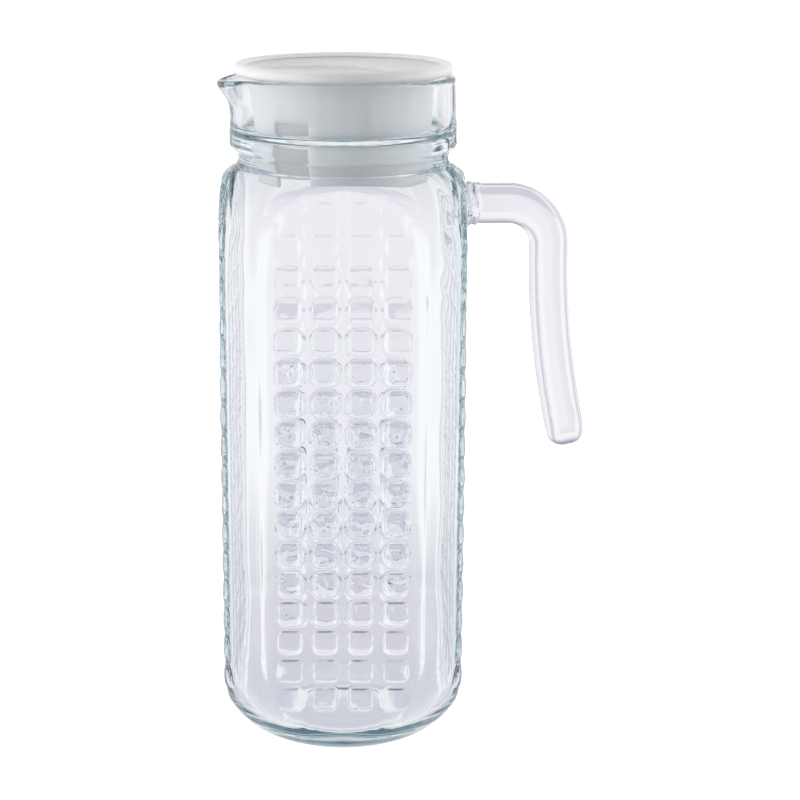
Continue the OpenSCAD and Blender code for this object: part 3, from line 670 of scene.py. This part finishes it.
def glass(name, tint, density, wave, wave_height, seam=False):
    """Clear soda-lime glass: sharp reflections, light bent through its thickness, and a faint blue-green that
    deepens where the eye looks along the wall. Lamps shine through it. The mould leaves its skin wavy."""
    material, tree = new_material(name)
    place = add(tree, "ShaderNodeTexCoord", (-900, 0)).outputs["Object"]
    noise = add(tree, "ShaderNodeTexNoise", (-700, 0), {"Vector": place},
                Scale=per_metre(wave), Detail=1.5, Roughness=0.45)
    bump = add(tree, "ShaderNodeBump", (-450, -100), {"Height": noise},
               Strength=1.0, Distance=wave_height * MM)
    # The studs' crowns were pressed last and coldest, so they are rippled. They are also painted a tone
    # deeper than the flat between them, partly the deeper tint of thicker glass and partly painted shade
    stud = add(tree, "ShaderNodeAttribute", (-900, 600), attribute_name="stud").outputs["Fac"]
    height = add(tree, "ShaderNodeSeparateXYZ", (-700, 450), {0: place}).outputs["Z"]
    rise = add(tree, "ShaderNodeMapRange", (-500, 450), {"Value": height},
               From_Min=RIPPLE_IN_Z[0] * MM, From_Max=RIPPLE_IN_Z[1] * MM, To_Min=0.25, To_Max=1.0)
    fall = add(tree, "ShaderNodeMapRange", (-500, 700), {"Value": height},
               From_Min=RIPPLE_OUT_Z[0] * MM, From_Max=RIPPLE_OUT_Z[1] * MM, To_Min=1.0, To_Max=0.05)
    ripple_and_shade_zone = add(tree, "ShaderNodeMath", (-300, 550), {0: rise, 1: fall}, operation="MULTIPLY")
    crown = add(tree, "ShaderNodeMath", (-150, 600), {0: ripple_and_shade_zone, 1: stud}, operation="MULTIPLY")
    ripple = add(tree, "ShaderNodeTexNoise", (-700, 200), {"Vector": place},
                 Scale=per_metre(RIPPLE), Detail=0.6, Roughness=0.4)
    rippled = add(tree, "ShaderNodeMath", (-300, 250), {0: ripple, 1: crown}, operation="MULTIPLY")
    skin = add(tree, "ShaderNodeBump", (-300, -100), {"Height": rippled, "Normal": bump},
               Strength=1.0, Distance=RIPPLE_H * MM)
    if seam:
        skin = parting_line(tree, place, skin)
    # Painted shade: a lavender-grey in the glass's colour on the studs' crowns, weaker at the foot and fading
    # out above
    tone = add(tree, "ShaderNodeMix", (-50, 400), {0: crown, 6: (1, 1, 1, 1), 7: linear("E9E9F1")},
               data_type="RGBA")
    # Painted shade: a dark dash at each stud's top, for the dark line that the glass shows there.
    # It is darker near the foot, and no two are alike
    fold_and_dash_shade = add(tree, "ShaderNodeAttribute", (-900, 900), attribute_name="fold_and_dash_shade").outputs["Fac"]
    blotch = add(tree, "ShaderNodeTexNoise", (-700, 1000), {"Vector": place},
                 Scale=per_metre(BLOTCH), Detail=0.0)
    chance = add(tree, "ShaderNodeMapRange", (-500, 1000), {"Value": blotch},
                 From_Min=0.36, From_Max=0.52, To_Min=0.25, To_Max=1.0)
    darker_low_down = add(tree, "ShaderNodeMapRange", (-500, 1250), {"Value": height},
               From_Min=DASH_SHADE_Z[0] * MM, From_Max=DASH_SHADE_Z[1] * MM, To_Min=1.0, To_Max=0.35)
    some = add(tree, "ShaderNodeMath", (-300, 1000), {0: chance, 1: darker_low_down}, operation="MULTIPLY")
    fewer = add(tree, "ShaderNodeMath", (-200, 1000), {0: some, 1: fall}, operation="MULTIPLY")
    dash_shade = add(tree, "ShaderNodeMath", (-150, 900), {0: fewer, 1: fold_and_dash_shade}, operation="MULTIPLY")
    with_dash_shade = add(tree, "ShaderNodeMix", (50, 700), {0: dash_shade, 6: tone.outputs[2], 7: linear("2E3038")},
                 data_type="RGBA")
    # The ledge inside the collar is thick, and light runs round the neck in it. The dark teal painted into
    # the glass's colour there is partly the glass's own deeper colour, and partly painted shade for the dark
    # line at the ledge's edge
    ledge = add(tree, "ShaderNodeAttribute", (-150, 1200), attribute_name="ledge").outputs["Fac"]
    ringed = add(tree, "ShaderNodeMix", (200, 700), {0: ledge, 6: with_dash_shade.outputs[2], 7: linear("86A09E")},
                 data_type="RGBA")
    body = add(tree, "ShaderNodeBsdfPrincipled", (-200, 100),
               {"Normal": skin, "Base Color": ringed.outputs[2]},
               Roughness=0.0, IOR=1.5, Transmission_Weight=1.0)
    clear = add(tree, "ShaderNodeBsdfTransparent", (-200, -300), Color=(0.93, 0.95, 0.955, 1))
    path = add(tree, "ShaderNodeLightPath", (-450, 400))
    mix = add(tree, "ShaderNodeMixShader", (100, 100), {0: path.outputs["Is Shadow Ray"], 1: body, 2: clear})
    depth = add(tree, "ShaderNodeVolumeAbsorption", (100, -200), Color=linear(tint), Density=density)
    add(tree, "ShaderNodeOutputMaterial", (400, 0), {"Surface": mix, "Volume": depth})
    return material


def parting_line(tree, place, normal):
    """The mould's parting line on the handle's leg: a beaded ridge between two heights. It follows the leg's
    curve, a little nearer the body than the leg's middle line."""
    middle = ((BEND_X + BEND_R + LEG_R) * MM, 0, (ARM_Z - BEND_R) * MM)
    level = add(tree, "ShaderNodeVectorMath", (-1100, -400), {0: place, 1: (1, 0, 1)}, operation="MULTIPLY")
    apart = add(tree, "ShaderNodeVectorMath", (-950, -400), {0: level, 1: middle}, operation="DISTANCE")
    off = add(tree, "ShaderNodeMath", (-800, -400),
              {0: apart.outputs["Value"], 1: (LEG_R + SEAM_OFFSET) * MM}, operation="SUBTRACT")
    near = add(tree, "ShaderNodeMath", (-650, -400), {0: off}, operation="ABSOLUTE")
    ridge = add(tree, "ShaderNodeMapRange", (-500, -400), {"Value": near}, interpolation_type="SMOOTHSTEP",
                From_Min=0.0, From_Max=SEAM_HALF_W * MM, To_Min=1.0, To_Max=0.0)
    beads = add(tree, "ShaderNodeTexNoise", (-800, -650), {"Vector": place},
                Scale=per_metre(SEAM_BEAD), Detail=1.0, Roughness=0.5)
    bead = add(tree, "ShaderNodeMapRange", (-500, -650), {"Value": beads},
               From_Min=0.42, From_Max=0.6, To_Min=0.15, To_Max=1.0)
    height = add(tree, "ShaderNodeSeparateXYZ", (-800, -900), {0: place}).outputs["Z"]
    above = add(tree, "ShaderNodeMapRange", (-500, -900), {"Value": height},
                From_Min=(SEAM_LOW_Z - SEAM_FADE) * MM, From_Max=SEAM_LOW_Z * MM, To_Min=0.0, To_Max=1.0)
    below = add(tree, "ShaderNodeMath", (-500, -1150), {0: height, 1: SEAM_HIGH_Z * MM},
                operation="LESS_THAN")
    both = add(tree, "ShaderNodeMath", (-300, -400), {0: ridge, 1: bead}, operation="MULTIPLY")
    part = add(tree, "ShaderNodeMath", (-300, -900), {0: above, 1: below}, operation="MULTIPLY")
    relief = add(tree, "ShaderNodeMath", (-150, -600), {0: both, 1: part}, operation="MULTIPLY")
    return add(tree, "ShaderNodeBump", (0, -600), {"Height": relief, "Normal": normal},
               Strength=1.0, Distance=SEAM_H * MM)


def polyethylene():
    """White moulded polyethylene: satin, so its highlights are broad and soft. Light goes a few millimetres
    into it, which lifts its shadows, and it has the fine grain of a spark-eroded mould."""
    material, tree = new_material("moulded_white_polyethylene")
    place = add(tree, "ShaderNodeTexCoord", (-900, 0)).outputs["Object"]
    grain = add(tree, "ShaderNodeTexNoise", (-700, -100), {"Vector": place},
                Scale=per_metre(GRAIN), Detail=2.0, Roughness=0.6)
    cloud = add(tree, "ShaderNodeTexNoise", (-700, 200), {"Vector": place},
                Scale=per_metre(CLOUD), Detail=2.0, Roughness=0.5)
    shade = add(tree, "ShaderNodeMix", (-450, 250), {0: cloud, 6: linear("F2F2F2"), 7: linear("F9F9F9")},
                data_type="RGBA")
    gloss = add(tree, "ShaderNodeMapRange", (-450, 0), {"Value": cloud},
                From_Min=0.3, From_Max=0.7, To_Min=0.34, To_Max=0.44)
    bump = add(tree, "ShaderNodeBump", (-450, -250), {"Height": grain}, Strength=0.5, Distance=GRAIN_H * MM)
    body = add(tree, "ShaderNodeBsdfPrincipled", (-150, 0),
               {"Base Color": shade.outputs[2], "Roughness": gloss, "Normal": bump},
               IOR=1.51, Subsurface_Weight=0.85, Subsurface_Scale=8.0 * MM,
               Subsurface_Radius=(1.0, 0.99, 0.98))
    add(tree, "ShaderNodeOutputMaterial", (200, 0), {"Surface": body})
    return material


def seen_directly(tree, at):
    """1 for the camera's rays, and for those that glass or a gloss sends on."""
    path = add(tree, "ShaderNodeLightPath", at).outputs
    first = add(tree, "ShaderNodeMath", (at[0] + 200, at[1]),
                {0: path["Is Camera Ray"], 1: path["Is Glossy Ray"]}, operation="MAXIMUM")
    return add(tree, "ShaderNodeMath", (at[0] + 400, at[1]),
               {0: first, 1: path["Is Transmission Ray"]}, operation="MAXIMUM")


def white_studio():
    """The world: plain white behind the jug. Glass shows its shape by what stands round it, so it sees white
    cards with soft grey gaps between them, a lavender tone on their lower half, and a darker ceiling."""
    world = bpy.data.worlds.new("white_studio")
    world.use_nodes = True
    tree = world.node_tree
    tree.nodes.clear()
    seen = seen_directly(tree, (-900, 300))
    place = add(tree, "ShaderNodeTexCoord", (-1500, 0))
    way = add(tree, "ShaderNodeSeparateXYZ", (-1300, 0), {0: place.outputs["Generated"]}).outputs
    round_about = add(tree, "ShaderNodeMath", (-1100, 0), {0: way["X"], 1: way["Y"]}, operation="ARCTAN2")
    cards = add(tree, "ShaderNodeMath", (-950, 0), {0: round_about, 1: CARDS}, operation="MULTIPLY")
    wave = add(tree, "ShaderNodeMath", (-800, 0), {0: cards}, operation="COSINE")
    gap = add(tree, "ShaderNodeMapRange", (-650, 0), {"Value": wave}, interpolation_type="SMOOTHSTEP",
              From_Min=GAP_WAVE[0], From_Max=GAP_WAVE[1], To_Min=1.0, To_Max=0.0)
    # The lavender is deeper and wider towards its foot
    lower = add(tree, "ShaderNodeMapRange", (-1100, 750), {"Value": way["Z"]},
                From_Min=DEEPER_Z[0], From_Max=DEEPER_Z[1], To_Min=1.0, To_Max=0.0)
    wider = add(tree, "ShaderNodeMath", (-950, 650), {0: lower, 1: CARD_WIDER}, operation="MULTIPLY")
    spread = add(tree, "ShaderNodeMath", (-800, 600), {0: wave, 1: wider}, operation="ADD")
    card = add(tree, "ShaderNodeMapRange", (-650, 250), {"Value": spread}, interpolation_type="SMOOTHSTEP",
               From_Min=CARD_WAVE[0], From_Max=CARD_WAVE[1], To_Min=0.0, To_Max=1.0)
    drop = add(tree, "ShaderNodeMath", (-950, 400), {0: way["Z"], 1: -CARD_MIDDLE_Z}, operation="ADD")
    off_level = add(tree, "ShaderNodeMath", (-800, 400), {0: drop}, operation="ABSOLUTE")
    band = add(tree, "ShaderNodeMapRange", (-650, 500), {"Value": off_level}, interpolation_type="SMOOTHSTEP",
               From_Min=CARD_HALF, From_Max=CARD_END, To_Min=1.0, To_Max=0.0)
    toned_card = add(tree, "ShaderNodeMath", (-450, 350), {0: card, 1: band}, operation="MULTIPLY")
    flat = add(tree, "ShaderNodeMath", (-800, -250), {0: way["Z"]}, operation="ABSOLUTE")
    level = add(tree, "ShaderNodeMapRange", (-650, -250), {"Value": flat},
                From_Min=GAP_FADE_Z[0], From_Max=GAP_FADE_Z[1], To_Min=1.0, To_Max=0.0)
    gaps = add(tree, "ShaderNodeMath", (-450, 0), {0: gap, 1: level}, operation="MULTIPLY")
    ceiling = add(tree, "ShaderNodeMapRange", (-650, -500), {"Value": way["Z"]},
                  interpolation_type="SMOOTHSTEP",
                  From_Min=CEILING_Z[0], From_Max=CEILING_Z[1], To_Min=0.0, To_Max=1.0)
    tint = add(tree, "ShaderNodeMix", (-450, 700), {0: lower, 6: linear("F1EEF4"), 7: linear("D9D7E1")},
               data_type="RGBA")
    paper = add(tree, "ShaderNodeMix", (-300, 300), {0: toned_card, 6: linear("FFFFFF"), 7: tint.outputs[2]},
                data_type="RGBA")
    open_gap = add(tree, "ShaderNodeMix", (-300, 0), {0: gaps, 6: paper.outputs[2], 7: linear("D6DAE3")},
                   data_type="RGBA")
    under = add(tree, "ShaderNodeMapRange", (-650, -750), {"Value": way["Z"]},
                interpolation_type="SMOOTHSTEP",
                From_Min=STEEP_Z[0], From_Max=STEEP_Z[1], To_Min=STEEP_SHARE, To_Max=0.0)
    ends = add(tree, "ShaderNodeMath", (-450, -600), {0: ceiling, 1: under}, operation="MAXIMUM")
    tone = add(tree, "ShaderNodeMix", (-150, -200), {0: ends, 6: open_gap.outputs[2], 7: linear("8E95AA")},
               data_type="RGBA")
    path = add(tree, "ShaderNodeLightPath", (-150, 300)).outputs
    plain_white = add(tree, "ShaderNodeMix", (0, 200),
                      {0: path["Is Camera Ray"], 6: tone.outputs[2], 7: (1, 1, 1, 1)}, data_type="RGBA")
    backdrop = add(tree, "ShaderNodeBackground", (150, 100), {"Color": plain_white.outputs[2]}, Strength=1.0)
    # What lights the matt plastic comes more from behind than from the camera's side
    depth = add(tree, "ShaderNodeMapRange", (-150, -500), {"Value": way["Y"]},
                From_Min=-1.0, From_Max=1.0, To_Min=FRONT_LIGHT, To_Max=BACK_LIGHT)
    light = add(tree, "ShaderNodeBackground", (150, -100), {"Strength": depth}, Color=linear("FAFAFA"))
    share = add(tree, "ShaderNodeMapRange", (-150, 500), {"Value": path["Diffuse Depth"]},
                From_Min=0.0, From_Max=1.0, To_Min=1.0, To_Max=BOUNCED_SHARE)
    shown = add(tree, "ShaderNodeMath", (150, 350), {0: seen, 1: share}, operation="MULTIPLY")
    mix = add(tree, "ShaderNodeMixShader", (350, 0), {0: shown, 1: light, 2: backdrop})
    add(tree, "ShaderNodeOutputWorld", (550, 0), {"Surface": mix})
    return world


def white_floor():
    """A round floor of white painted board. For the camera's rays it has a painted glow, which grows away
    from the jug until the floor is as white as the background, so the floor is darker round the jug: painted
    shade there, which lets the jug's real shadow show. The jug's glass doesn't show it."""
    columns = 96
    turns = [2 * math.pi * k / columns for k in range(columns)]
    ring = [(FLOOR_R * math.cos(a) / MM, FLOOR_R * math.sin(a) / MM, -FLOOR_DROP) for a in turns]
    floor = mesh_object("studio_floor", ring, [tuple(range(columns))], smooth=False)
    material, tree = new_material("white_painted_board")
    matt = add(tree, "ShaderNodeBsdfDiffuse", (-300, 100), Color=linear("E8E9EC"))
    seen = seen_directly(tree, (-900, -200))
    place = add(tree, "ShaderNodeTexCoord", (-900, -500)).outputs["Object"]
    reach = add(tree, "ShaderNodeVectorMath", (-700, -500), {0: place}, operation="LENGTH").outputs["Value"]
    rise = add(tree, "ShaderNodeMapRange", (-500, -500), {"Value": reach}, interpolation_type="SMOOTHSTEP",
               From_Min=FLOOR_LIFT_R[0], From_Max=FLOOR_LIFT_R[1], To_Min=0.52, To_Max=1.0)
    level = add(tree, "ShaderNodeMath", (-450, -200), {0: seen, 1: rise}, operation="MULTIPLY")
    lift = add(tree, "ShaderNodeEmission", (-300, -100), {"Strength": level}, Color=(1, 1, 1, 1))
    both = add(tree, "ShaderNodeAddShader", (0, 0), {0: matt, 1: lift})
    add(tree, "ShaderNodeOutputMaterial", (200, 0), {"Surface": both})
    floor.data.materials.append(material)
    floor.visible_transmission = False
    floor.visible_glossy = False
    return floor


def soft_lamp(name, place, aim, size, power):
    """A rectangular softbox that points at its aim, and that neither glass nor a gloss shows."""
    data = bpy.data.lights.new(name, "AREA")
    data.shape = "RECTANGLE"
    data.size, data.size_y = size
    data.energy = power
    data.cycles.use_multiple_importance_sampling = False
    lamp = bpy.data.objects.new(name, data)
    bpy.context.scene.collection.objects.link(lamp)
    lamp.visible_glossy = False
    lamp.visible_transmission = False
    lamp.location = place
    away = np.array(place) - np.array(aim)
    tilt = math.acos(away[2] / np.linalg.norm(away))
    lamp.rotation_euler = (tilt, 0, math.atan2(away[1], away[0]) + math.pi / 2)


def product_camera():
    """The camera at the photograph's viewing angle."""
    data = bpy.data.cameras.new("product_camera")
    data.sensor_width = 36.0
    data.lens = LENS
    data.shift_x = SHIFT_X
    camera = bpy.data.objects.new("product_camera", data)
    bpy.context.scene.collection.objects.link(camera)
    camera.location = CAMERA_PLACE
    camera.rotation_euler = (math.radians(90 - CAMERA_PITCH), 0, 0)
    return camera


def studio():
    """White floor and surroundings, four softboxes, and a camera at the photograph's angle."""
    scene = bpy.context.scene
    scene.view_settings.view_transform = "Standard"
    # Light is thrown back many times inside thick glass, and a ray that is given up there shows black
    scene.cycles.max_bounces = 28
    scene.cycles.diffuse_bounces = 10
    scene.cycles.transmission_bounces = 28
    scene.cycles.glossy_bounces = 20
    scene.cycles.transparent_max_bounces = 20
    scene.world = white_studio()
    floor = white_floor()
    for name, (place, aim, size, power) in LAMPS.items():
        soft_lamp(name, place, aim, size, power)
    scene.camera = product_camera()


def plain(box):
    """A box's two corners as plain lists of numbers."""
    return [[float(v) for v in corner] for corner in box]


studio()
body = glass_body(glass("pressed_soda_lime_glass", tint="9FD6DE", density=7.5, wave=12.0, wave_height=0.03))
handle = glass_handle()
lid = stopper_lid()

handle.data.materials.append(glass("fire_polished_soda_lime_glass", tint="C8CCDA", density=12.0,
                                   wave=8.0, wave_height=0.05, seam=True))
lid.data.materials.append(polyethylene())

for piece, place, node, slot in ((body, "jug", "jug_body", "pressed_glass"),
                                 (handle, "jug", "handle", "handle_glass"),
                                 (lid, "lid", "lid", "lid_plastic")):
    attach(piece, place)
    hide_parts(node)
